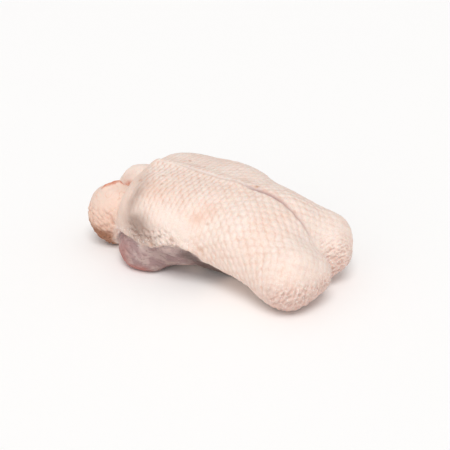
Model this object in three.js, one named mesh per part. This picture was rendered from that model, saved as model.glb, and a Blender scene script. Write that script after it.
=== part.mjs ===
// A raw duck crown: both breasts on the bone with their skin, legs and wings taken off.
//
// It lies breast up. +X points to the neck end, where the breasts part into two lobes,
// -X to the tail end with its two rump lumps, -Y is the near side and +Z is up. The
// origin is the middle of the footprint, on the surface that the crown rests on.
// All sizes are millimetres and all angles degrees.
//
// The crown is one solid. Its form is a field, a function that gives the distance from a
// point to the surface, negative inside. Each mass of flesh has a field of its own, soft
// unions grow them together, soft cuts press the grooves in, and marching cubes give the
// skin of the sum, whose corners are then evened out and put back on the surface.

import * as THREE from "three";
import { MarchingCubes } from "three/addons/objects/MarchingCubes.js";
import { mergeVertices } from "three/addons/utils/BufferGeometryUtils.js";

// ---- Carcass: the breasts and the rib cage under them, as cross-sections along X ----

const MIDLINE_Y = -1.5;
const CARCASS_SECTIONS = [
  // x, near and far half-width, height of the top and of the widest level, near and far fullness
  { x: -92, near: 38, far: 46, top: 70, waist: 44, nearFullness: 2.3, farFullness: 2.4 },
  { x: -76, near: 46, far: 55, top: 80, waist: 44, nearFullness: 2.4, farFullness: 2.7 },
  { x: -58, near: 54, far: 60, top: 81.5, waist: 43, nearFullness: 2.6, farFullness: 3.1 },
  { x: -37, near: 58, far: 63, top: 82.5, waist: 42, nearFullness: 2.7, farFullness: 3.2 },
  { x: -14, near: 59, far: 66, top: 82.5, waist: 41, nearFullness: 2.7, farFullness: 3.2 },
  { x: 3, near: 57, far: 65, top: 82, waist: 40, nearFullness: 2.6, farFullness: 3.1 },
  { x: 18, near: 53, far: 60, top: 81.5, waist: 38, nearFullness: 2.5, farFullness: 2.9 },
  { x: 36, near: 50, far: 52.5, top: 80.5, waist: 34, nearFullness: 2.4, farFullness: 2.6 },
  { x: 60, near: 48, far: 46, top: 78, waist: 31, nearFullness: 2.3, farFullness: 2.4 },
  { x: 80, near: 46, far: 43, top: 71, waist: 28, nearFullness: 2.2, farFullness: 2.3 },
  { x: 98, near: 40, far: 40, top: 60, waist: 26, nearFullness: 2.2, farFullness: 2.2 },
  { x: 116, near: 30, far: 34, top: 42, waist: 22, nearFullness: 2.2, farFullness: 2.2 },
];
const SIDES_BLEND_HALF_WIDTH = 30;
const BELLY_FULLNESS = 1.2;
const BELLY_BLEND_DEPTH = 20;
const BELLY_DROP = 9;
const TAIL_FACE = { x: -86.5, z: 36, lean: 0.32, skew: 0.07, rounding: 14 };
const NECK_FACE = { x: 101, z: 38, lean: 0.2, rounding: 24 };

// ---- Lobes: the neck ends of the two breasts, each a chain of balls [x, y, z, radius] ----

const NEAR_LOBE = [
  [48, -26.5, 44, 30],
  [90.5, -34.5, 29, 27.7],
  [102.5, -20.5, 27.5, 18.5],
];
const FAR_LOBE = [
  [54, 20.5, 42, 26],
  [88, 29.5, 31, 25],
  [102, 21, 27, 17],
];
const LOBE_BLEND = 8;
const LOBES_APART_BLEND = 4;
const LOBES_ON_CARCASS_BLEND = 10;

// ---- Groove: it starts at the end of the keel and deepens into the cleft of the lobes ----

const GROOVE = [
  [58, -1.5, 84, 2.5],
  [75, -1, 76, 3],
  [86, -0.5, 69, 3.5],
  [96, 0.5, 60, 4],
  [105, 1.5, 48, 5],
  [114, 2.5, 34, 6],
  [121, 3.5, 20, 8],
  [122, 3.5, -10, 9],
];
const GROOVE_BLEND = 6;

// ---- Keel: the edge of the breastbone, a low ridge under the skin ----

const KEEL = { from: -70, to: 32, z: 80.8, radius: 3.2, endRounding: 12, blend: 7 };

// ---- Rump: two fatty lumps behind the tail end, joined in the middle, with a cut on top ----

const NEAR_RUMP = { centre: [-100, -20.5, 29], radii: [23.5, 21, 29], yaw: 0, pitch: 6 };
const FAR_RUMP = { centre: [-93, 19, 36.5], radii: [28, 20, 28], yaw: 0, pitch: 22 };
const MIDDLE_RUMP = { centre: [-92, -2, 28], radii: [22, 27, 28], yaw: 0, pitch: 0 };
const RUMP_CUT = { x: -100, y: -3.5, skew: 0.2, halfWidth: 2.2, floor: 46, rounding: 6 };
const RUMP_LUMPS_BLEND = 10;
const RUMP_BLEND = 8;

// ---- Stumps: what is left of the thighs under each side, mirrored about the midline ----

const STUMP_MEAT = { centre: [-49.5, 39, 15.5], radii: [27, 20.5, 20.5], yaw: 8, pitch: 0 };
const STUMP_TAIL = { centre: [-27, 30, 20], radii: [27, 15, 14], yaw: 10, pitch: 6 };
const STUMP_BLEND = 8;
const STUMP_ON_CARCASS_BLEND = 9;

// ---- Table and skin ----

const TABLE_BLEND = 2.5;
const CELL = 4.8;
const SKIN_HALF_SIZE = 135;
const SKIN_MIDDLE_Z = 40;
const SNAP_SHARE = 0.15;
const WELD = 1e-5;
const EVENING_ROUNDS = 6;
const EVENING_SHARE = 0.5;
const LANDING_STEPS = 3;
const SLOPE_STEP = 0.05;
const LEAST_SLOPE = 0.2;

const SKIN_COLOUR = 0xf2ddd0;
const SKIN_ROUGHNESS = 0.55;

const { clamp, degToRad, lerp, smoothstep } = THREE.MathUtils;

/** The lesser of two distances, rounded over a band of the width blend where they meet. */
function softUnion(a, b, blend) {
  const overlap = Math.max(blend - Math.abs(a - b), 0) / blend;
  return Math.min(a, b) - (overlap * overlap * blend) / 4;
}

/** The greater of two distances, rounded in the same way. */
function softCommon(a, b, blend) {
  return -softUnion(-a, -b, blend);
}

/** Distance to an ellipsoid, turned by yaw about Z and then raised by pitch. */
function ellipsoid(x, y, z, { centre, radii, yaw, pitch }) {
  const turn = degToRad(yaw);
  const rise = degToRad(pitch);
  const dx = x - centre[0];
  const dy = y - centre[1];
  const dz = z - centre[2];
  const forward = dx * Math.cos(turn) + dy * Math.sin(turn);
  const u = forward * Math.cos(rise) + dz * Math.sin(rise);
  const v = dy * Math.cos(turn) - dx * Math.sin(turn);
  const w = dz * Math.cos(rise) - forward * Math.sin(rise);
  const near = Math.hypot(u / radii[0], v / radii[1], w / radii[2]);
  const slope = Math.hypot(u / radii[0] ** 2, v / radii[1] ** 2, w / radii[2] ** 2);
  return slope > 0 ? (near * (near - 1)) / slope : -Math.min(...radii);
}

/** Distance to a chain of balls, each joined to the next by a cone. */
function ballChain(x, y, z, balls, blend) {
  let distance = Infinity;
  for (let i = 0; i + 1 < balls.length; i++) {
    const [ax, ay, az, ar] = balls[i];
    const [bx, by, bz, br] = balls[i + 1];
    const along = (bx - ax) * (x - ax) + (by - ay) * (y - ay) + (bz - az) * (z - az);
    const t = clamp(along / ((bx - ax) ** 2 + (by - ay) ** 2 + (bz - az) ** 2), 0, 1);
    const away = Math.hypot(x - lerp(ax, bx, t), y - lerp(ay, by, t), z - lerp(az, bz, t));
    const link = away - lerp(ar, br, t);
    distance = i === 0 ? link : softUnion(distance, link, blend);
  }
  return distance;
}

/** The carcass section at x, read from the table by a smooth curve through its rows. */
function carcassSection(x) {
  const rows = CARCASS_SECTIONS;
  const last = rows.length - 1;
  const at = clamp(x, rows[0].x, rows[last].x);
  const i = clamp(rows.findIndex((row) => row.x >= at) - 1, 0, last - 1);
  const [before, from, to, after] = [i - 1, i, i + 1, i + 2].map((k) => rows[clamp(k, 0, last)]);
  const span = to.x - from.x;
  const t = (at - from.x) / span;
  const read = (key) => {
    const slopeFrom = ((to[key] - before[key]) / (to.x - before.x)) * span;
    const slopeTo = ((after[key] - from[key]) / (after.x - from.x)) * span;
    const start = (2 * t ** 3 - 3 * t ** 2 + 1) * from[key] + (t ** 3 - 2 * t ** 2 + t) * slopeFrom;
    return start + (3 * t ** 2 - 2 * t ** 3) * to[key] + (t ** 3 - t ** 2) * slopeTo;
  };
  return Object.fromEntries(Object.keys(from).map((key) => [key, key === "x" ? at : read(key)]));
}

/** Breasts and rib cage: a rounded cross-section, closed by the tail and neck faces. */
function carcass(x, y, z) {
  const section = carcassSection(x);
  const side = smoothstep(y - MIDLINE_Y, -SIDES_BLEND_HALF_WIDTH, SIDES_BLEND_HALF_WIDTH);
  const halfWidth = lerp(section.near, section.far, side);
  const fullness = lerp(section.nearFullness, section.farFullness, side);
  const below = smoothstep(section.waist - z, 0, BELLY_BLEND_DEPTH);
  const height = z > section.waist ? section.top - section.waist : section.waist + BELLY_DROP;
  const power = lerp(fullness, BELLY_FULLNESS, below);
  const across = Math.abs((y - MIDLINE_Y) / halfWidth) ** power;
  const upwards = Math.abs((z - section.waist) / height) ** power;
  const wall = ((across + upwards) ** (1 / power) - 1) * Math.min(halfWidth, height);
  const tail = TAIL_FACE.x - x - TAIL_FACE.skew * y + TAIL_FACE.lean * (z - TAIL_FACE.z);
  const neck = x - NECK_FACE.x + NECK_FACE.lean * (z - NECK_FACE.z);
  return softCommon(softCommon(wall, tail, TAIL_FACE.rounding), neck, NECK_FACE.rounding);
}

/** The two breast lobes of the neck end. */
function lobes(x, y, z) {
  const near = ballChain(x, y, z, NEAR_LOBE, LOBE_BLEND);
  const far = ballChain(x, y, z, FAR_LOBE, LOBE_BLEND);
  return softUnion(near, far, LOBES_APART_BLEND);
}

/** The keel's ridge along the top. */
function keel(x, y, z) {
  const ridge = Math.hypot(y - MIDLINE_Y, z - KEEL.z) - KEEL.radius;
  const ends = Math.max(KEEL.from - x, x - KEEL.to);
  return softCommon(ridge, ends, KEEL.endRounding);
}

/** The rump lumps, grown together in the middle, and the cut between their tops. */
function rump(x, y, z) {
  const near = ellipsoid(x, y, z, NEAR_RUMP);
  const far = ellipsoid(x, y, z, FAR_RUMP);
  const middle = ellipsoid(x, y, z, MIDDLE_RUMP);
  const lumps = softUnion(softUnion(near, far, RUMP_LUMPS_BLEND), middle, RUMP_LUMPS_BLEND);
  const slit = Math.abs(y - RUMP_CUT.y + RUMP_CUT.skew * (x - RUMP_CUT.x)) - RUMP_CUT.halfWidth;
  const cut = softCommon(slit, RUMP_CUT.floor - z, RUMP_CUT.rounding);
  return softCommon(lumps, -cut, RUMP_CUT.rounding);
}

/** Both thigh stumps, one field for the two sides. */
function stumps(x, y, z) {
  const out = Math.abs(y - MIDLINE_Y);
  const meat = ellipsoid(x, out, z, STUMP_MEAT);
  const tail = ellipsoid(x, out, z, STUMP_TAIL);
  return softUnion(meat, tail, STUMP_BLEND);
}

/** Distance from a point to the whole crown's surface. */
function crown(x, y, z) {
  let flesh = softUnion(carcass(x, y, z), lobes(x, y, z), LOBES_ON_CARCASS_BLEND);
  flesh = softCommon(flesh, -ballChain(x, y, z, GROOVE, LOBE_BLEND), GROOVE_BLEND);
  flesh = softUnion(flesh, keel(x, y, z), KEEL.blend);
  flesh = softUnion(flesh, rump(x, y, z), RUMP_BLEND);
  flesh = softUnion(flesh, stumps(x, y, z), STUMP_ON_CARCASS_BLEND);
  return softCommon(flesh, -z, TABLE_BLEND);
}

/** A first skin of the field: marching cubes over a cube of space round the crown. */
function firstSkin(field) {
  const cubes = new MarchingCubes(Math.round((2 * SKIN_HALF_SIZE) / CELL), new THREE.Material());
  const step = SKIN_HALF_SIZE / cubes.halfsize;
  const least = SNAP_SHARE * step;
  cubes.isolation = 0;
  for (let index = 0; index < cubes.size3; index++) {
    const x = ((index % cubes.size) - cubes.halfsize) * step;
    const y = ((Math.floor(index / cubes.size) % cubes.size) - cubes.halfsize) * step;
    const z = (Math.floor(index / cubes.size2) - cubes.halfsize) * step + SKIN_MIDDLE_Z;
    const depth = -field(x, y, z);
    cubes.field[index] = depth < 0 ? Math.min(depth, -least) : Math.max(depth, least);
  }
  cubes.update();
  const used = cubes.positionArray.slice(0, cubes.count * 3);
  const loose = new THREE.BufferGeometry();
  loose.setAttribute("position", new THREE.BufferAttribute(used, 3));
  const skin = mergeVertices(loose, WELD);
  skin.scale(SKIN_HALF_SIZE, SKIN_HALF_SIZE, SKIN_HALF_SIZE);
  skin.translate(0, 0, SKIN_MIDDLE_Z);
  return skin;
}

/** Moves every corner part of the way to the middle of its neighbours. */
function evenOut(corners, index) {
  const sums = corners.map(() => new THREE.Vector3());
  const counts = corners.map(() => 0);
  for (let i = 0; i < index.length; i += 3) {
    for (const [from, to] of [[0, 1], [1, 2], [2, 0]]) {
      const a = index[i + from];
      const b = index[i + to];
      sums[a].add(corners[b]);
      sums[b].add(corners[a]);
      counts[a] += 1;
      counts[b] += 1;
    }
  }
  corners.forEach((corner, i) => corner.lerp(sums[i].divideScalar(counts[i]), EVENING_SHARE));
}

/** Moves a corner onto the surface along the field's slope. */
function land(corner, field) {
  for (let step = 0; step < LANDING_STEPS; step++) {
    const { x, y, z } = corner;
    const here = field(x, y, z);
    const slope = new THREE.Vector3(
      field(x + SLOPE_STEP, y, z) - here,
      field(x, y + SLOPE_STEP, z) - here,
      field(x, y, z + SLOPE_STEP) - here,
    ).divideScalar(SLOPE_STEP);
    corner.addScaledVector(slope, -here / Math.max(slope.lengthSq(), LEAST_SLOPE));
  }
}

/** The closed skin of a field, with its corners spread evenly over the surface. */
function skinOf(field) {
  const skin = firstSkin(field);
  const position = skin.getAttribute("position");
  const corners = Array.from({ length: position.count }, (_, i) =>
    new THREE.Vector3().fromBufferAttribute(position, i),
  );
  for (let round = 0; round < EVENING_ROUNDS; round++) {
    evenOut(corners, skin.index.array);
    corners.forEach((corner) => land(corner, field));
  }
  corners.forEach((corner, i) => position.setXYZ(i, corner.x, corner.y, corner.z));
  skin.computeBoundingBox();
  const middle = skin.boundingBox.getCenter(new THREE.Vector3());
  skin.translate(-middle.x, -middle.y, 0);
  skin.computeVertexNormals();
  return skin;
}

const skin = new THREE.MeshStandardMaterial({
  color: SKIN_COLOUR,
  roughness: SKIN_ROUGHNESS,
  metalness: 0,
});
const duckCrown = new THREE.Mesh(skinOf(crown), skin);
duckCrown.name = "duck_crown";

const part = new THREE.Group();
part.add(duckCrown);

export default part;
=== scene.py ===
"""Raw duck crown, breast up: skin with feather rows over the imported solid, on a plain pale floor."""
import math
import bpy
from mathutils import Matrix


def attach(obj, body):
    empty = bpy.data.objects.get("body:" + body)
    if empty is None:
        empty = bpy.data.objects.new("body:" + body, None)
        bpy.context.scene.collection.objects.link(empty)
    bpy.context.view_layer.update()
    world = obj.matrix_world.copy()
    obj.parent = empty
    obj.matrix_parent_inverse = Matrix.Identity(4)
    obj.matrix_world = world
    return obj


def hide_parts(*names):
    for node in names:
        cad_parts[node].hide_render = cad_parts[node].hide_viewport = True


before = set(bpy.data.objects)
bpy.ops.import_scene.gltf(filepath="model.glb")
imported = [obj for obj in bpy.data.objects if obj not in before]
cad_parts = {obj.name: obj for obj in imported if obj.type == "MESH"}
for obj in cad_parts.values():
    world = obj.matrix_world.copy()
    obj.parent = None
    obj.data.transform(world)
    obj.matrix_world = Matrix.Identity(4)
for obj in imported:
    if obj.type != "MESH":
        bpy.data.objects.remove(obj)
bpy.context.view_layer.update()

from types import SimpleNamespace

import bmesh
import bpy
import numpy as np
from mathutils import Vector, noise

bl_info = {
    "name": "Raw duck crown",
    "version": (1, 0, 0),
    "blender": (4, 5, 0),
    "location": "View3D > Sidebar > Duck crown",
    "description": "Dresses the duck crown's solid with its skin and sets up a pale stage",
    "category": "Mesh",
}

SOLID = "duck_crown"
MM = 0.001

# Places on the crown are in mm: X to the neck end, Y to the far side, Z up.
MIDLINE_Y = -1.7
AXIS_Z = 38
TARGET = (9.2, MIDLINE_Y, AXIS_Z)
UP = (0, 0, 1)
TO_NEAR_SIDE = (0, -1, 0)
KEEL_LINE = (
    (-60, -3.4, 84), (-35, -3.6, 84), (-13, -3.8, 84), (8, -3.6, 83.3), (29, -3, 82.4), (45, -2.2, 80),
    (58, -2.2, 78.3), (68, -2.6, 75.5), (77, -3.6, 71.5), (86, -4, 64.5), (93, -3.5, 55.5), (101, -3, 44),
    (112, 2, 30), (119, 3.5, 18),
)  # fmt: skip
FOLD_LINE = (
    (-86, 0, 14), (-80, 0, 23), (-70, 0, 29), (-62, 0, 31.5), (-52.6, 0, 32), (-46.5, 0, 30.2), (-38.9, 0, 28.5),
    (-29.5, 0, 28.7), (-21.2, 0, 32.5), (-16, 0, 36.2), (-9.6, 0, 37), (2.7, 0, 38), (9.6, 0, 36),
    (15.3, 0, 32.9), (19, 0, 29), (24, 0, 16), (27, 0, 0),
)  # fmt: skip
# Grey band at the tail end of the breast: partly thin skin, partly painted shade.
THIN_SKIN_LINE = (
    (-60, -10, 81), (-57.5, -19, 80.6), (-56.6, -27.5, 79.2), (-54.5, -33.5, 77.6), (-51, -41.8, 74.4),
    (-49.3, -47.6, 70.6), (-49.7, -50.5, 67.6), (-51.5, -52.8, 63.5), (-52, -55, 57.2), (-50, -56.8, 51.8),
)  # fmt: skip
FLAP_LINE = (
    (-105, -30.5, 53.5), (-101.8, -27.4, 56), (-99.3, -23.8, 57.5), (-98, -19.9, 57.8), (-96, -16.9, 57.6),
    (-93.5, -15.7, 57.2), (-90, -13.5, 56.3),
)  # fmt: skip
CUT_LINE = ((-122, -8, 30), (-114, -7, 44), (-104, -5, 51), (-96, -3, 52.5), (-90, -2, 52))
# The far fold runs this much nearer the tail end and lower than the near one.
FAR_FOLD_SHIFT = (4, 0, 5)

# Soft patches of skin: centre and radii.
HELD_FOLD = ((-38, -58, 32), (10, 30, 40))
RAW_RIM = ((-62, -56, 9), (10, 12, 14))
# Grey patches at the tail end of the near flank and above the fold: partly thin skin, partly painted shade.
GREY_SKIN_AND_SHADE = ((-44, -57, 50), (14, 14, 9))
GREY_SKIN_AND_SHADE_BELOW = ((-38, -58, 37), (24, 12, 9))
FAR_GREY_SKIN = ((-52, 44, 62), (9, 12, 22))
# Smooth skin on the shoulders; on the near shoulder its paler colour is partly a painted highlight.
SMOOTH_SKIN_AND_HIGHLIGHT = (((-13, -58, 61), (17, 12, 9)), ((2, -58, 53), (14, 9, 9)), ((-8, 56, 58), (18, 14, 12)))

# Peach patches and brown follicle spots: centre, radii and strength.
PEACH_PATCHES = (
    ((-40, -42, 74), (16, 12, 8), 0.5), ((13.9, -49.5, 64.6), (6, 6, 5), 0.6), ((20, -41.5, 71), (8, 6, 6), 0.4),
)  # fmt: skip
SPOTS = (
    ((-37.6, 13.5, 82.3), 1.3, 0.9), ((-39.5, -24.4, 81.2), 1.3, 0.7), ((-33.2, -34.7, 79), 1.3, 0.6),
    ((-56.9, -34.4, 77), 1.3, 0.6), ((38.9, 2.1, 80.4), 1.7, 0.8), ((19.8, -54.6, 39.7), 2.6, 0.5),
    ((22.5, -54.1, 35.3), 1.8, 0.35), ((23, -48.7, 61.8), 1.2, 0.5), ((-5.8, -60.1, 45.9), 1.8, 0.35),
    ((-27.1, -59.9, 34.3), 2.2, 0.4),
)  # fmt: skip

# The follicles lie where rings round the body meet slanting rows. Each ring or row is so many mm from the next, along
# the body and round it from the keel.
RING_STEPS = (4.2, 75)
SLANT_STEPS = (7.1, -8)

# Weights of the rings, the slanting rows and the third way between them, at the tail end and at the neck end.
PILLOW_WEIGHTS = ((0.5, 0.22), (0.33, 0.48), (0.13, 0.33))
NET_WEIGHTS = ((0.48, 0.22), (0.3, 0.32), (0.06, 0.26))

# Ruffled bumps: strength, the way they are long in, size across it (mm), stretch along it, and seed.
CLEFT_RUFFLES = (0.62, (0.5, 0.85, 0.15), 1.9, 2.4, 3.3)
LOBE_RUFFLES = (1.1, (0.64, 0, 0.77), 1.8, 2.8, 5.2)
FOLD_RUFFLES = (1.5, (0.8, 0, -0.6), 2.2, 2.2, 6.1)
RUMP_RUFFLES = (1.0, (0.75, 0, -0.65), 2.0, 3.4, 8.8)
# Wrinkles in the thigh meat: the way across them, mm from one to the next, waviness and seed.
MEAT_WRINKLES = ((0.3, 0, 1), 3.6, 0.9, 9.1)

# Relief of the skin's zones: zone and height (mm).
ZONE_RELIEF = (("ruffle", 0.8), ("band", 0.6), ("crease", 0.45))
FLAP_HEIGHT = 3.0
# Unevenness: zone, size of the bumps (mm), octaves, seed and height (mm).
UNEVENNESS = (
    ("whole", 34, 2, 1.2, 0.9), ("whole", 7, 3, 5.5, 0.22), ("rump", 13, 3, 7.7, 0.5), ("rump", 4.5, 2, 3.3, 0.22),
    ("meat", 15, 2, 2.7, 1.3),
)  # fmt: skip
# Ridges and grooves: zone, line, how far they lie from it, width and height (mm, below 0 for a groove).
RIDGES_AND_GROOVES = (
    ("ridge", "keel", 0, 0.9, 0.15), ("ridge", "keel", -1.9, 1.2, -0.3), ("slit", "keel", 0, 2.3, -1.9),
    ("cleft", "keel", 0, 2.4, -0.8), ("lip", "fold", 2.4, 2.8, 1.0), ("lip", "fold", -1.0, 1.5, -2.2),
)  # fmt: skip

# Lamps: name, turn round the crown, rise above the floor and softness, in degrees.
LAMPS = (("key", 34, 60, 30), ("fill", 5, 18, 80))
# Half the floor's side (m) and the width of the camera's sensor (mm).
FLOOR_REACH = 4
SENSOR_WIDTH = 36


# --- fields on the skin ------------------------------------------------------------------------------------------


def blob(points, centre, radii):
    """1 at the centre of a soft patch, fading out by about its radii (mm)."""
    return np.exp(-(((points - np.array(centre)) / np.array(radii)) ** 2).sum(1))


def ramp(values, start, end):
    """0 at start, 1 at end, smooth between; start may be the larger one."""
    t = np.clip((values - start) / (end - start), 0, 1)
    return t * t * (3 - 2 * t)


def between(values, start, full, fading, end):
    """1 from full to fading, 0 before start and past end, smooth between."""
    return ramp(values, start, full) * ramp(values, end, fading)


def line_mark(distance, width):
    """1 on a line, fading out by about its width (mm)."""
    return np.exp(-((distance / width) ** 2))


def beside(points, line, facing):
    """Distance (mm) to a line, positive on its left as seen from the facing side, and the share of the line there."""
    line = np.array(line, float)
    steps = np.linalg.norm(np.diff(line, axis=0), axis=1)
    marks = np.concatenate([[0], np.cumsum(steps)]) / steps.sum()
    best = np.full(len(points), 1e9)
    signed = np.zeros(len(points))
    share = np.zeros(len(points))
    for k, (start, end) in enumerate(zip(line[:-1], line[1:])):
        run = end - start
        t = np.clip((points - start) @ run / (run @ run), 0, 1)
        gap = points - start - t[:, None] * run
        far = np.linalg.norm(gap, axis=1)
        near = far < best
        best[near] = far[near]
        signed[near] = (far * np.sign(np.cross(run, gap) @ np.array(facing, float)))[near]
        share[near] = (marks[k] + t * (marks[k + 1] - marks[k]))[near]
    return signed, share


def patches(points, table):
    """Sum of soft patches, each given by its centre, radii (mm) and strength."""
    return sum(strength * blob(points, centre, radii) for centre, radii, strength in table)


def rough(points, size, octaves=2, seed=0.0):
    """Smooth noise from about -1 to 1 with bumps about one size (mm) across."""
    shift = Vector((seed, seed * 1.7, seed * 0.6))
    return np.array([noise.fractal(Vector(p) + shift, 0.7, 2.0, octaves) for p in (points / size).tolist()])


def wrinkles(points, way, step, warp, seed):
    """Parallel wrinkles one step (mm) apart across a way: -1 in the creases, 1 on top."""
    way = np.array(way, float) / np.linalg.norm(way)
    count = points @ way / step + warp * rough(points, 11, seed=seed)
    return 1 - 2 * np.abs(2 * (count % 1) - 1) ** 1.6


def ruffles(points, strength, way, size, stretch, seed):
    """Small bumps up and down by about the strength, one size (mm) across and longer along a way."""
    way = np.array(way, float) / np.linalg.norm(way)
    along = points @ way
    return strength * 1.6 * rough(points - np.outer(along * (1 - 1 / stretch), way), size, seed=seed)


def together(waves, weights, neckward):
    """Sum of three waves, each with its weights at the tail end, where neckward is 0, and at the neck end."""
    first, second, third = (each * (tail + (neck - tail) * neckward) for each, (tail, neck) in zip(waves, weights))
    return first + second + third


def spread(field_steps, edges, weights, start, rounds=350):
    """Finds the field whose steps along the edges come closest to the given ones, by conjugate gradients."""
    a, b = edges.T
    count = len(start)

    def gather(flow):
        return np.bincount(b, flow, count) - np.bincount(a, flow, count)

    weight_sum = np.bincount(a, weights, count) + np.bincount(b, weights, count)
    field = start.copy()
    left = gather(weights * (field_steps - (field[b] - field[a])))
    eased = left / weight_sum
    way = eased.copy()
    size = left @ eased
    for _ in range(rounds):
        pull = gather(weights * (way[b] - way[a]))
        reach = size / (way @ pull)
        field += reach * way
        left -= reach * pull
        eased = left / weight_sum
        size, before = left @ eased, size
        way = eased + (size / before) * way
    return field


def lengths_on_skin(points, normals, edges):
    """Lengths (mm) along the body and round it from the keel, measured on the skin. On the lobes, along dives down."""
    dive = ramp(points[:, 0], 66, 108)
    ahead = np.stack([1 - 0.5 * dive, 0 * dive, -0.85 * dive], 1)
    ahead /= np.linalg.norm(ahead, axis=1)[:, None]
    along = ahead - normals * (normals * ahead).sum(1)[:, None]
    sure = np.linalg.norm(along, axis=1)
    along /= np.maximum(sure, 0.05)[:, None]
    side = np.where(points[:, 1] > MIDLINE_Y, 1.0, -1.0)
    around = np.cross(normals, along) * side[:, None]
    a, b = edges.T
    run = points[b] - points[a]
    weights = np.minimum(sure[a], sure[b]) ** 2 + 0.02
    from_axis = points[:, 1:] - np.array([MIDLINE_Y, AXIS_Z])
    angle = np.abs(np.arctan2(*from_axis.T))
    reach = np.linalg.norm(from_axis, axis=1)
    fields = []
    for way, start in ((along, points[:, 0]), (around, angle * reach)):
        steps = ((way[a] + way[b]) / 2 * run).sum(1)
        fields.append(spread(steps, edges, weights, start))
    return fields


def feather_rows(points, normals, edges):
    """Counts of the rings round the body and of the slanting rows; a pillow is centred on every whole pair."""
    along, around = lengths_on_skin(points, normals, edges)
    along = along + 0.9 * rough(points, 15, seed=3.1) + 0.55 * rough(points, 5, octaves=1, seed=1.3)
    around = around + 0.9 * rough(points, 15, seed=8.4) + 0.8 * rough(points, 5, octaves=1, seed=7.2)
    wider = 0.08 * np.maximum(along - 25, 0) - 0.25 * np.maximum(along - 80, 0)
    closer = 0.18 * np.maximum(along - 40, 0) + 0.12 * np.maximum(along - 84, 0)
    ring = (along - wider) / RING_STEPS[0] + around / RING_STEPS[1]
    slant = (along + closer) / SLANT_STEPS[0] + around / SLANT_STEPS[1]
    return ring, slant


def keel_zones(zone, points):
    """The keel's pale ridge, the slit past it and the cleft between the lobes."""
    zone.keel, share = beside(points, KEEL_LINE, UP)
    zone.ridge = between(share, 0.04, 0.24, 0.46, 0.56)
    zone.slit = between(share, 0.4, 0.5, 0.72, 0.82)
    zone.cleft = ramp(share, 0.66, 0.78)


def fold_zones(zone, points, out):
    """The edge of the breast skin on both sides, with the thigh meat and the painted dark shade under its edge."""
    x, y, z = points.T
    flat = points * (1, 0, 1)
    near_side = y < MIDLINE_Y
    near_fold, near_share = beside(flat, FOLD_LINE, TO_NEAR_SIDE)
    far_fold, far_share = beside(flat + FAR_FOLD_SHIFT, FOLD_LINE, TO_NEAR_SIDE)
    zone.fold = np.where(near_side, near_fold, far_fold) + 0.8 * rough(points, 6, seed=4.4)
    share = np.where(near_side, near_share, far_share)
    held = blob(points, *HELD_FOLD)
    zone.edge = ramp(out, 26, 36) * between(share, 0.04, 0.12, 0.7, 0.8)
    zone.lip = zone.edge * (1 - 0.8 * held)
    zone.meat = ramp(-zone.fold, -0.6 - 4 * held, 1.4 + 3 * held) * ramp(out, 20, 32) * between(x, -90, -82, 12, 26)
    # Painted shade: dark under the right part of the skin's edge, over the meat.
    zone.hollow_shade = 0.85 * ramp(out, 10, 20) * ramp(-zone.fold, 0, 2.5) * between(x, -8, 8, 22, 32)
    zone.rim = zone.meat * np.maximum(blob(points, *RAW_RIM), 0.9 * ramp(z, 12, 4) * ramp(x, -30, -42) * near_side)
    # Wrinkles in the meat: they raise the relief and place painted shade in their creases.
    zone.crease = zone.meat * wrinkles(points, *MEAT_WRINKLES)


def rump_zones(zone, points, normals, out):
    """The rump lumps with their red flap, red cut and brown underside, partly painted shade, and the body's face above
    them.
    """
    x, y, z = points.T
    zone.rump = ramp(0.35 * (z - 30) - x, 80, 86) * (1 - zone.meat)
    zone.tail_face = ramp(normals[:, 0], -0.16, -0.34) * ramp(x, -44, -56) * (1 - zone.rump) * (1 - zone.meat)
    zone.rump_colour = zone.rump * (1 - 0.7 * ramp(y, 2, 12))
    # Browner and darker underside of the rump: partly its own colour, partly painted shade.
    zone.brown = zone.rump * ramp(z + 0.25 * (x + 96), 26, 16) * ramp(out, 8, 20)
    flap_gap, flap_share = beside(points, FLAP_LINE, UP)
    cut_gap, cut_share = beside(points, CUT_LINE, UP)
    torn = rough(points, 3.5, seed=1.9)
    tear = 1.9 * np.sin(math.pi * flap_share) - 0.5 + 0.6 * torn
    raw = ramp(flap_gap + tear, -0.4, 0.6) * ramp(flap_gap, 7, 3) * between(flap_share, 0, 0.1, 0.9, 1)
    zone.red = np.maximum(raw, line_mark(cut_gap, 3.2) * ramp(cut_share, 0.02, 0.3))
    zone.flap = line_mark(flap_gap - 0.8, 2.2) * between(flap_share, 0, 0.25, 0.75, 1) * (1 + 0.35 * torn)


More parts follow.
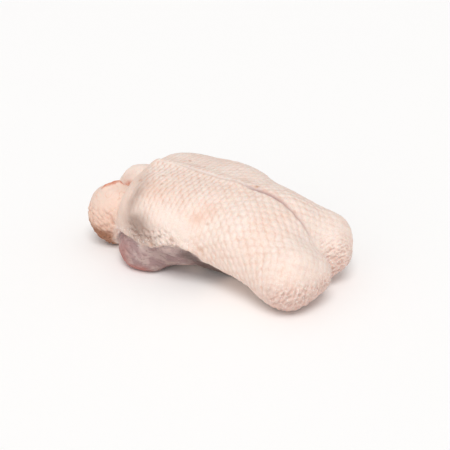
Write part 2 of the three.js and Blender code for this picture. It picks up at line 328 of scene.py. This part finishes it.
def tint_zones(zone, points):
    """Thin grey skin, partly painted shade; smooth fatty skin, partly a painted highlight; pink low skin, partly
    painted shade; wet skin where the painted glints go; peach patches, partly painted shade low on the rump; and brown
    spots.
    """
    x, _, z = points.T
    gap, share = beside(points, THIN_SKIN_LINE, UP)
    zone.band = line_mark(gap, 4.0) * ramp(share, 0.1, 0.4)
    grey_band = 0.66 * line_mark(gap, 7.0) * ramp(share, 0.0, 0.7)
    # Grey band and patches: partly thin skin, partly painted shade.
    grey_patch = 1.1 * blob(points, *GREY_SKIN_AND_SHADE) + 0.7 * blob(points, *GREY_SKIN_AND_SHADE_BELOW)
    zone.thin = np.minimum(np.maximum(grey_band, grey_patch) * (1 - zone.meat), 1)
    zone.thin += 0.5 * blob(points, *FAR_GREY_SKIN) * (1 - zone.meat)
    # Paler smooth skin; on the near shoulder this is partly a painted highlight.
    zone.smooth = np.clip(sum(blob(points, *patch) for patch in SMOOTH_SKIN_AND_HIGHLIGHT), 0, 1)
    # Pinker and darker towards the bottom, mostly on the lobes: partly painted shade on the undersides.
    zone.low = ramp(z, 44, 14) * (0.18 + 0.82 * ramp(x, 62, 100))
    # Wet skin: glossier, and where the painted glints go.
    zone.wet = np.maximum(ramp(z, 46, 26) * ramp(x, 70, 100), line_mark(zone.fold - 5, 6) * zone.edge)
    zone.spots = patches(points, SPOTS)
    # Peach patches, the peach tail face, and the rump darker and peachier towards the bottom, which is partly painted
    # shade.
    zone.blush_and_shade = patches(points, PEACH_PATCHES) + 0.3 * zone.tail_face + 0.75 * zone.rump * ramp(z, 52, 24)


def row_zones(zone, points, normals, out):
    """Where the skin lies in ruffled bumps, and where in rows of pillows."""
    x, y, z = points.T
    by_cleft = ramp(x, 84, 96) * between(y, -3, 5, 22, 40) * ramp(normals[:, 0], 0.3, 0.6) * ramp(z, 52, 38)
    lobe_low = ramp(x, 74, 98) * ramp(z, 44, 24) * (1 - by_cleft) * (1 - 0.6 * ramp(y, 8, 26))
    by_fold = ramp(zone.fold, 25, 11) * zone.edge * ramp(x, 12, -4)
    on_rump = zone.rump * ramp(z, 46, 36) * ramp(out, 14, 26)
    calm = (1 - zone.meat) * (1 - 0.85 * zone.tail_face) * (1 - zone.rump) * (1 - 0.7 * zone.smooth)
    zone.loose = np.clip(by_cleft + by_fold + 0.65 * lobe_low, 0, 1) * calm + on_rump
    zone.ruffle = calm * (
        by_cleft * ruffles(points, *CLEFT_RUFFLES)
        + lobe_low * ruffles(points, *LOBE_RUFFLES)
        + by_fold * ruffles(points, *FOLD_RUFFLES)
    ) + on_rump * ruffles(points, *RUMP_RUFFLES)
    zone.neckward = ramp(x, -30, 68)
    even = (1 - 0.5 * ramp(x, 80, 104)) * (1 - 0.4 * ramp(y, 4, 14) * ramp(x, 75, 40))
    clear = ramp(np.abs(zone.keel), 0.5, 2.2) * (1 - 0.5 * zone.thin) * ramp(z, 6, 16)
    zone.rows = even * clear * calm * (1 - zone.loose)


def zones(points, normals):
    """Shares from 0 to 1 of every tissue and mark at the skin's points, and distances (mm) to its main lines."""
    zone = SimpleNamespace(whole=1.0)
    out = np.abs(points[:, 1] - MIDLINE_Y)
    keel_zones(zone, points)
    fold_zones(zone, points, out)
    rump_zones(zone, points, normals, out)
    tint_zones(zone, points)
    row_zones(zone, points, normals, out)
    return zone


def skin_heights(points, zone, ring, slant, pillow):
    """How far (mm) the skin stands out from the solid at every point."""
    waves = [np.cos(2 * math.pi * count) for count in (ring, slant, ring - slant)]
    low_lobe = zone.low * zone.neckward
    uneven = (0.7 + 0.5 * rough(points, 20, octaves=1, seed=6.6)) * (0.8 + 0.3 * zone.neckward + 0.7 * low_lobe)
    height = pillow * uneven * zone.rows * together(waves, PILLOW_WEIGHTS, zone.neckward)
    pimpled = 0.14 + 0.25 * ramp(points[:, 0], 80, 104) + 0.3 * low_lobe
    height += pimpled * zone.rows * rough(points, 2.6, seed=2.2)
    height += FLAP_HEIGHT * zone.flap
    part = vars(zone)
    for where, rise in ZONE_RELIEF:
        height += rise * part[where]
    for where, size, octaves, seed, rise in UNEVENNESS:
        height += rise * part[where] * rough(points, size, octaves, seed)
    for where, line, aside, width, rise in RIDGES_AND_GROOVES:
        height += rise * part[where] * line_mark(part[line] - aside, width)
    return height * ramp(points[:, 2], 0.05, 3)


# --- mesh helpers ------------------------------------------------------------------------------------------------


def even_skin(solid, voxel):
    """A smooth, evenly meshed copy of a CAD solid, as a mesh of its own."""
    work = bpy.data.objects.new("skin_work", solid.data.copy())
    bpy.context.scene.collection.objects.link(work)
    shell = bmesh.new()
    shell.from_mesh(work.data)
    bmesh.ops.remove_doubles(shell, verts=shell.verts, dist=1e-6)
    shell.to_mesh(work.data)
    shell.free()
    rounding = work.modifiers.new("rounding", "SUBSURF")
    rounding.levels = rounding.render_levels = 2
    even = work.modifiers.new("even", "REMESH")
    even.mode = "VOXEL"
    even.voxel_size = voxel
    ease = work.modifiers.new("ease", "SMOOTH")
    ease.factor = 0.5
    ease.iterations = 6
    bpy.context.view_layer.update()
    graph = bpy.context.evaluated_depsgraph_get()
    mesh = bpy.data.meshes.new_from_object(work.evaluated_get(graph))
    bpy.data.objects.remove(work)
    return mesh


def read(mesh):
    """A mesh's points (mm), normals and edges as arrays."""
    points = np.empty(len(mesh.vertices) * 3)
    mesh.vertices.foreach_get("co", points)
    normals = np.empty_like(points)
    mesh.vertex_normals.foreach_get("vector", normals)
    edges = np.empty(len(mesh.edges) * 2, np.int32)
    mesh.edges.foreach_get("vertices", edges)
    return points.reshape(-1, 3) / MM, normals.reshape(-1, 3), edges.reshape(-1, 2)


def keep(mesh, name, *channels):
    """Keeps three numbers at every vertex, for the material to read."""
    values = np.stack(channels, 1).astype(np.float32)
    mesh.attributes.new(name, "FLOAT_VECTOR", "POINT").data.foreach_set("vector", values.ravel())


def place(mesh, name):
    """Makes a piece of the crown from a finished mesh that has its material."""
    piece = bpy.data.objects.new(name, mesh)
    bpy.context.scene.collection.objects.link(piece)
    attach(piece, "root")
    for polygon in mesh.polygons:
        polygon.use_smooth = True
    return piece


# --- materials ---------------------------------------------------------------------------------------------------


def tint(code):
    """Scene colour of an sRGB code such as F5E3D8."""
    parts = [int(code[k : k + 2], 16) / 255 for k in (0, 2, 4)]
    return tuple(c / 12.92 if c <= 0.04045 else ((c + 0.055) / 1.055) ** 2.4 for c in parts)


class Wire:
    """An output socket in a node tree; Python's operators on it add Math nodes."""

    def __init__(self, tree, socket=None):
        self.tree = tree
        self.socket = socket

    def node(self, kind, settings=None, sockets=None, output=0):
        """Adds a node: its settings first, then its sockets' values or links. Gives one of its outputs."""
        made = self.tree.nodes.new(kind)
        for name, value in (settings or {}).items():
            setattr(made, name, value)
        for name, value in (sockets or {}).items():
            if isinstance(value, Wire):
                self.tree.links.new(value.socket, made.inputs[name])
            else:
                made.inputs[name].default_value = value
        return Wire(self.tree, made.outputs[output] if made.outputs else None)

    def math(self, operation, *values):
        return self.node("ShaderNodeMath", {"operation": operation}, dict(enumerate(values)))

    def __add__(self, other):
        return self.math("ADD", self, other)

    def __sub__(self, other):
        return self.math("SUBTRACT", self, other)

    def __mul__(self, other):
        return self.math("MULTIPLY", self, other)

    def __rsub__(self, other):
        return self.math("SUBTRACT", other, self)

    __radd__ = __add__
    __rmul__ = __mul__

    def __abs__(self):
        return self.math("ABSOLUTE", self)

    def ramp(self, start, end):
        """0 at start, 1 at end, smooth between; start may be the larger one."""
        return self.node(
            "ShaderNodeMapRange",
            {"interpolation_type": "SMOOTHSTEP", "clamp": True},
            {"Value": self, "From Min": start, "From Max": end, "To Min": 0.0, "To Max": 1.0},
        )

    def over(self, under, colour):
        """The colour under, turned to another by this wire's share."""
        shown = {0: self, 6: under, 7: colour}
        sockets = {k: v if isinstance(v, Wire) else (*v[:3], 1.0) for k, v in shown.items()}
        return self.node("ShaderNodeMix", {"data_type": "RGBA"}, sockets, output=2)


def marks(wire, name):
    """The three numbers kept at the vertices under a name."""
    vector = wire.node("ShaderNodeAttribute", {"attribute_name": name}, output="Vector")
    return [wire.node("ShaderNodeSeparateXYZ", {}, {0: vector}, output=k) for k in range(3)]


def grain(wire, scale, detail=2.0, roughness=0.5):
    """Noise from 0 to 1 in the object's own space; scale is in bumps a metre."""
    place_in = wire.node("ShaderNodeTexCoord", output="Object")
    sockets = {"Vector": place_in, "Scale": scale, "Detail": detail, "Roughness": roughness}
    return wire.node("ShaderNodeTexNoise", {}, sockets)


def wave(count):
    """1 on every whole count, -1 halfway between."""
    return count.math("COSINE", 2 * math.pi * count)


def skin_material(look):
    """Cream duck skin: peach furrows between the follicles' pillows, thin grey skin, meat, fat and raw cut, with
    painted shade and painted highlights in places.
    """
    material = bpy.data.materials.new("duck_skin")
    material.use_nodes = True
    tree = material.node_tree
    tree.nodes.clear()
    wire = Wire(tree)

    ring, slant, rows = marks(wire, "rows")
    ruffle, loose, neckward = marks(wire, "ruffles")
    keel, slit, red = marks(wire, "lines")
    meat, thin, smooth = marks(wire, "tissues")
    blush_and_shade, spots, brown = marks(wire, "tints")
    rump, rim, wet = marks(wire, "places")
    low, hollow_shade, crease = marks(wire, "shades")

    # Noise with bumps from about 40 mm down to 1 mm across.
    broad = grain(wire, 26.0, 3.0)
    middle = grain(wire, 110.0, 3.0)
    small = grain(wire, 420.0, 2.0)
    fine = grain(wire, 1100.0, 3.0, 0.6)

    # Pillows stand where the rings, the slanting rows and the third way between them meet; furrows are what is left.
    waves = [wave(count) for count in (ring, slant, ring - slant)]
    pillow = together(waves, PILLOW_WEIGHTS, neckward) + 0.7 * (small - 0.5)
    net = together([(each + 0.9 * (small - 0.5)).ramp(0.0, -1.0) for each in waves], NET_WEIGHTS, neckward)
    furrow = (net + 0.38 * pillow.ramp(0.1, -0.8)) * rows * (0.5 + 0.9 * middle.ramp(0.35, 0.65))
    corner = pillow.ramp(-0.4, -0.8) * rows
    # Dark gaps between the ruffled bumps: partly their own colour, partly painted shade.
    gap = (ruffle + 0.5 * (small - 0.5)).ramp(0.2, -0.7) * loose
    cell = wire.node("ShaderNodeCombineXYZ", {}, {"X": ring.math("ROUND", ring), "Y": slant.math("ROUND", slant)})
    lot = wire.node("ShaderNodeTexWhiteNoise", {"noise_dimensions": "3D"}, {"Vector": cell}, output="Value")
    vein = abs(grain(wire, 75.0, 2.0) - 0.5).ramp(0.012, 0.0) * broad.ramp(0.4, 0.6)
    # Painted highlights: small near-white glints on the wet skin.
    painted_glint = fine.ramp(0.56, 0.62) * small.ramp(0.47, 0.58) * wet

    meat_colour = middle.ramp(0.42, 0.58).over(look.meat, look.meat_pale)
    meat_colour = rim.over(meat_colour, look.raw_pink)
    # Painted shade: the meat darkens in its wrinkles' creases.
    meat_colour = (crease.ramp(0.0, -0.9) * 0.4).over(meat_colour, look.hollow_shade)

    # Each share turns the colour under it to its own: first the breast skin, then the rump, the thin skin, the meat
    # and the marks. The keel comes last: a pale thread of membrane with a painted shadow line beside it, then a pink
    # slit.
    layers = (
        # Pinker and darker low down: partly painted shade.
        (low * (0.75 + 0.4 * middle), look.pink_skin_and_shade),
        (lot * 0.3 * rows, look.light_skin_and_highlight),
        (furrow * look.furrow_strength * (1.0 - 0.1 * neckward), look.furrow),
        (corner * (0.1 + (0.3 + 0.55 * neckward) * small.ramp(0.45, 0.65)), look.pore),
        (middle.ramp(0.52, 0.7) * 0.22, look.pink_skin_and_shade),
        # Paler smooth skin, partly a painted highlight on the near shoulder.
        (smooth * 0.5, look.light_skin_and_highlight),
        (fine.ramp(0.52, 0.64) * 0.35, look.light_skin_and_highlight),
        (fine.ramp(0.46, 0.36) * 0.25, look.furrow),
        (rump * (0.4 + 0.6 * broad), look.rump_skin),
        # Peach patches; low on the rump this is partly painted shade.
        (blush_and_shade * (0.6 + 0.6 * small), look.blush_and_shade),
        (vein * rump * 0.55, look.vein),
        # Grey skin at the tail end: partly thin skin, partly painted shade.
        (thin * (0.7 + 0.5 * middle), look.grey_skin_and_shade),
        # Gaps between bumps, darkened partly as painted shade.
        (gap * (0.36 + 0.1 * neckward), (neckward + rump).over(look.gap, look.warm_gap_and_shade)),
        (meat, meat_colour),
        # Painted shade under the edge of the breast skin.
        (hollow_shade, look.hollow_shade),
        # Underside of the rump: browner, and partly painted shade.
        (brown * (0.75 + 0.4 * middle), look.rump_shade),
        (red, small.ramp(0.35, 0.65).over(look.raw_red, look.raw_orange)),
        (spots, look.spot),
        # Painted highlights: the wet glints.
        (painted_glint * 0.9, look.painted_glint),
        (abs(keel).ramp(2.1, 0.6) * 0.48, look.membrane),
        # Painted shadow: a greyish line beside the keel's ridge.
        (abs(keel + 2.0).ramp(1.5, 0.2) * 0.26, look.grey_skin_and_shade),
        (slit * 0.85, look.slit),
    )
    colour = broad.ramp(0.35, 0.65).over(look.skin_pale, look.skin_warm)
    for share, own_colour in layers:
        colour = share.over(colour, own_colour)

    # Relief finer than the mesh, in mm.
    height = 0.22 * pillow * rows + 0.35 * ruffle * loose + 0.18 * fine + 0.4 * small
    normal = wire.node("ShaderNodeBump", {}, {"Strength": 1.0, "Distance": MM, "Height": height})
    shader = wire.node(
        "ShaderNodeBsdfPrincipled",
        {"subsurface_method": "RANDOM_WALK"},
        {
            "Base Color": colour,
            "Roughness": 0.52 - 0.16 * wet + 0.1 * middle,
            "Coat Weight": 0.06 + 0.3 * fine.ramp(0.5, 0.75) * (0.4 + wet),
            "Normal": normal,
            "Coat Roughness": 0.2,
            "Specular IOR Level": 0.4,
            "Subsurface Weight": 0.2,
            "Subsurface Radius": (1.0, 0.5, 0.35),
            "Subsurface Scale": 0.0025,
        },
    )
    wire.node("ShaderNodeOutputMaterial", {}, {"Surface": shader})
    return material


def floor_material(colour):
    """A matt pale surface with a barely seen unevenness."""
    material = bpy.data.materials.new("pale_floor")
    material.use_nodes = True
    tree = material.node_tree
    tree.nodes.clear()
    wire = Wire(tree)
    faint = grain(wire, 6.0, 2.0)
    sockets = {
        "Base Color": (faint * 0.06).over(colour, tuple(0.9 * c for c in colour)),
        "Roughness": 0.75,
        "Specular IOR Level": 0.2,
    }
    shader = wire.node("ShaderNodeBsdfPrincipled", {}, sockets)
    wire.node("ShaderNodeOutputMaterial", {}, {"Surface": shader})
    return material


# --- settings ----------------------------------------------------------------------------------------------------


def colour_setting(name, description, code):
    """A colour given by its sRGB code."""
    return bpy.props.FloatVectorProperty(
        name=name, description=description, subtype="COLOR", size=3, min=0, max=1, default=tint(code)
    )


class CrownSkin(bpy.types.PropertyGroup):
    """Sizes and colours of the skin."""

    voxel: bpy.props.FloatProperty(
        name="Mesh spacing", description="Distance between the skin's vertices", default=0.00108, unit="LENGTH"
    )
    pillow: bpy.props.FloatProperty(
        name="Pillow height", description="Height of the pillows between follicles", default=0.000273, unit="LENGTH"
    )
    furrow_strength: bpy.props.FloatProperty(
        name="Furrow strength", description="How far the furrows take on their own colour", default=0.45
    )
    skin_pale: colour_setting("Pale skin", "Skin over the breast", "F4E2D7")
    skin_warm: colour_setting("Warm skin", "Warmer parts of the breast skin", "EFD8CB")
    # Light skin: random lighter pillow tops, and smooth skin that is partly a painted highlight on the near shoulder.
    light_skin_and_highlight: colour_setting("Light skin", "Tops of the pillows and smooth fatty skin", "F8EAE0")
    # Pink skin: random pink mottling, and the pinker, darker skin low down that is partly painted shade.
    pink_skin_and_shade: colour_setting("Pink skin", "Skin where the meat shows through", "E0BFB3")
    furrow: colour_setting("Furrow", "Furrows between the pillows", "DDAF97")
    # Gap colours: partly the gaps' own colour, partly painted shade between the bumps.
    gap: colour_setting("Gap", "Gaps between the loose bumps over the folds", "8A5B48")
    warm_gap_and_shade: colour_setting("Warm gap", "Gaps between the bumps on the lobes", "B27E6E")
    # Painted highlights: the colour of the small wet glints.
    painted_glint: colour_setting("Glint", "Small wet points", "FFFDF8")
    pore: colour_setting("Pores", "Orange-brown pores in some furrows", "BC8264")
    rump_skin: colour_setting("Rump skin", "Skin over the rump lumps", "E7CBBB")
    # Blush: peach patches, and also the darker low rump, which is partly painted shade.
    blush_and_shade: colour_setting("Blush", "Peach patches", "E2B7A0")
    vein: colour_setting("Vein", "Thin orange lines on the rump", "D99B78")
    # Grey of the thin skin at the tail end, partly painted shade; also the painted shadow line beside the keel.
    grey_skin_and_shade: colour_setting("Thin skin", "Grey skin over the end of the keel", "A88F83")
    meat: colour_setting("Meat", "Thigh meat under its membrane", "A58886")
    meat_pale: colour_setting("Pale meat", "Paler parts of the thigh meat", "BBA29C")
    raw_pink: colour_setting("Raw rim", "Pink edge of the thigh meat", "B5766E")
    rump_shade: colour_setting("Rump shade", "Browner underside of the rump", "A06E52")
    raw_red: colour_setting("Raw cut", "Red meat in the cut of the rump", "CC8570")
    raw_orange: colour_setting("Raw cut edge", "Orange flecks in the cut of the rump", "DDA48A")
    # Painted shade: the dark colour under the edge of the breast skin, also used in the meat's creases.
    hollow_shade: colour_setting("Hollow", "Dark hollow under the edge of the breast skin", "5E4A45")
    membrane: colour_setting("Membrane", "Pale thread along the keel", "E6DDD9")
    slit: colour_setting("Slit", "Pink-grey groove past the keel", "B28984")
    spot: colour_setting("Spots", "Small brown follicle spots", "B97A50")


class CrownStage(bpy.types.PropertyGroup):
    """Floor, lights and camera."""

    floor: colour_setting("Floor", "Colour of the floor", "FDFCFB")
    turn: bpy.props.FloatProperty(
        name="Turn", description="Camera's angle round the crown", default=math.radians(33), subtype="ANGLE"
    )
    rise: bpy.props.FloatProperty(
        name="Rise", description="Camera's angle above the floor", default=math.radians(26), subtype="ANGLE"
    )
    distance: bpy.props.FloatProperty(
        name="Distance", description="From the camera to the crown", default=0.95, unit="LENGTH"
    )
    width: bpy.props.FloatProperty(
        name="Width", description="Width that the picture takes in", default=0.3915, unit="LENGTH"
    )
    room: bpy.props.FloatProperty(name="Room light", description="Brightness of the light all round", default=0.56)
    key: bpy.props.FloatProperty(name="Key light", description="Strength of the main soft lamp", default=1.45)
    fill: bpy.props.FloatProperty(name="Fill light", description="Strength of the low front lamp", default=0.5)


# --- operators ---------------------------------------------------------------------------------------------------


class DUCK_OT_skin(bpy.types.Operator):
    """Makes the crown's skin with its feather rows, folds and cuts"""

    bl_idname = "duck.skin"
    bl_label = "Skin"

    def execute(self, context):
        look = context.scene.crown_skin
        mesh = even_skin(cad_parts[SOLID], look.voxel)
        points, normals, edges = read(mesh)
        ring, slant = feather_rows(points, normals, edges)
        zone = zones(points, normals)
        height = skin_heights(points, zone, ring, slant, look.pillow / MM)
        moved = points + normals * height[:, None]
        moved[:, 2] = np.maximum(moved[:, 2], 0)
        mesh.vertices.foreach_set("co", (moved * MM).astype(np.float32).ravel())

        keep(mesh, "rows", ring, slant, zone.rows)
        keep(mesh, "ruffles", zone.ruffle, zone.loose, zone.neckward)
        thread = zone.keel / np.maximum(zone.ridge, 0.02)
        keep(mesh, "lines", thread, zone.slit * line_mark(zone.keel, 2.1), zone.red)
        keep(mesh, "tissues", zone.meat, zone.thin, zone.smooth)
        keep(mesh, "tints", zone.blush_and_shade, zone.spots, zone.brown)
        keep(mesh, "places", zone.rump_colour, zone.rim, zone.wet)
        keep(mesh, "shades", zone.low, zone.hollow_shade, zone.crease)
        mesh.materials.clear()
        mesh.materials.append(skin_material(look))
        skin = place(mesh, "duck_skin")
        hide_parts(SOLID)
        return {"FINISHED"}


class DUCK_OT_stage(bpy.types.Operator):
    """Makes the pale floor, the soft lights and the camera"""

    bl_idname = "duck.stage"
    bl_label = "Stage"

    def execute(self, context):
        look = context.scene.crown_stage
        sheet = bmesh.new()
        bmesh.ops.create_grid(sheet, x_segments=8, y_segments=8, size=FLOOR_REACH)
        mesh = bpy.data.meshes.new("floor")
        sheet.to_mesh(mesh)
        sheet.free()
        floor = bpy.data.objects.new("floor", mesh)
        context.scene.collection.objects.link(floor)
        mesh.materials.append(floor_material(tuple(look.floor)))

        world = bpy.data.worlds.new("soft_room")
        world.use_nodes = True
        sky = world.node_tree.nodes["Background"]
        sky.inputs["Color"].default_value = (1.0, 1.0, 1.0, 1)
        sky.inputs["Strength"].default_value = look.room
        context.scene.world = world
        target = Vector(TARGET) * MM
        for name, turn, rise, softness in LAMPS:
            lamp = bpy.data.lights.new(name, "SUN")
            lamp.angle = math.radians(softness)
            lamp.energy = getattr(look, name)
            light = bpy.data.objects.new(name, lamp)
            context.scene.collection.objects.link(light)
            light.location = target + towards(math.radians(turn), math.radians(rise))
            light.rotation_euler = (target - light.location).to_track_quat("-Z", "Y").to_euler()

        view = bpy.data.cameras.new("camera")
        view.sensor_width = SENSOR_WIDTH
        view.lens = SENSOR_WIDTH * look.distance / look.width
        camera = bpy.data.objects.new("camera", view)
        context.scene.collection.objects.link(camera)
        camera.location = target + towards(look.turn, look.rise) * look.distance
        camera.rotation_euler = (target - camera.location).to_track_quat("-Z", "Y").to_euler()
        context.scene.camera = camera
        context.scene.view_settings.view_transform = "Standard"
        return {"FINISHED"}


def towards(turn, rise):
    """Direction from the crown at an angle round it and one above the floor; 0 looks from the near side."""
    return Vector((math.sin(turn) * math.cos(rise), -math.cos(turn) * math.cos(rise), math.sin(rise)))


class DUCK_PT_panel(bpy.types.Panel):
    """Buttons and settings for the duck crown"""

    bl_idname = "DUCK_PT_panel"
    bl_label = "Duck crown"
    bl_space_type = "VIEW_3D"
    bl_region_type = "UI"
    bl_category = "Duck crown"

    def draw(self, context):
        for operator, settings in (("duck.skin", context.scene.crown_skin), ("duck.stage", context.scene.crown_stage)):
            box = self.layout.box()
            box.operator(operator)
            for name in settings.__annotations__:
                box.prop(settings, name)


CLASSES = (CrownSkin, CrownStage, DUCK_OT_skin, DUCK_OT_stage, DUCK_PT_panel)


def register():
    for each in CLASSES:
        bpy.utils.register_class(each)
    bpy.types.Scene.crown_skin = bpy.props.PointerProperty(type=CrownSkin)
    bpy.types.Scene.crown_stage = bpy.props.PointerProperty(type=CrownStage)


def unregister():
    del bpy.types.Scene.crown_stage
    del bpy.types.Scene.crown_skin
    for each in reversed(CLASSES):
        bpy.utils.unregister_class(each)


def main():
    register()
    bpy.ops.duck.stage()
    bpy.ops.duck.skin()


if __name__ == "__main__":
    main()
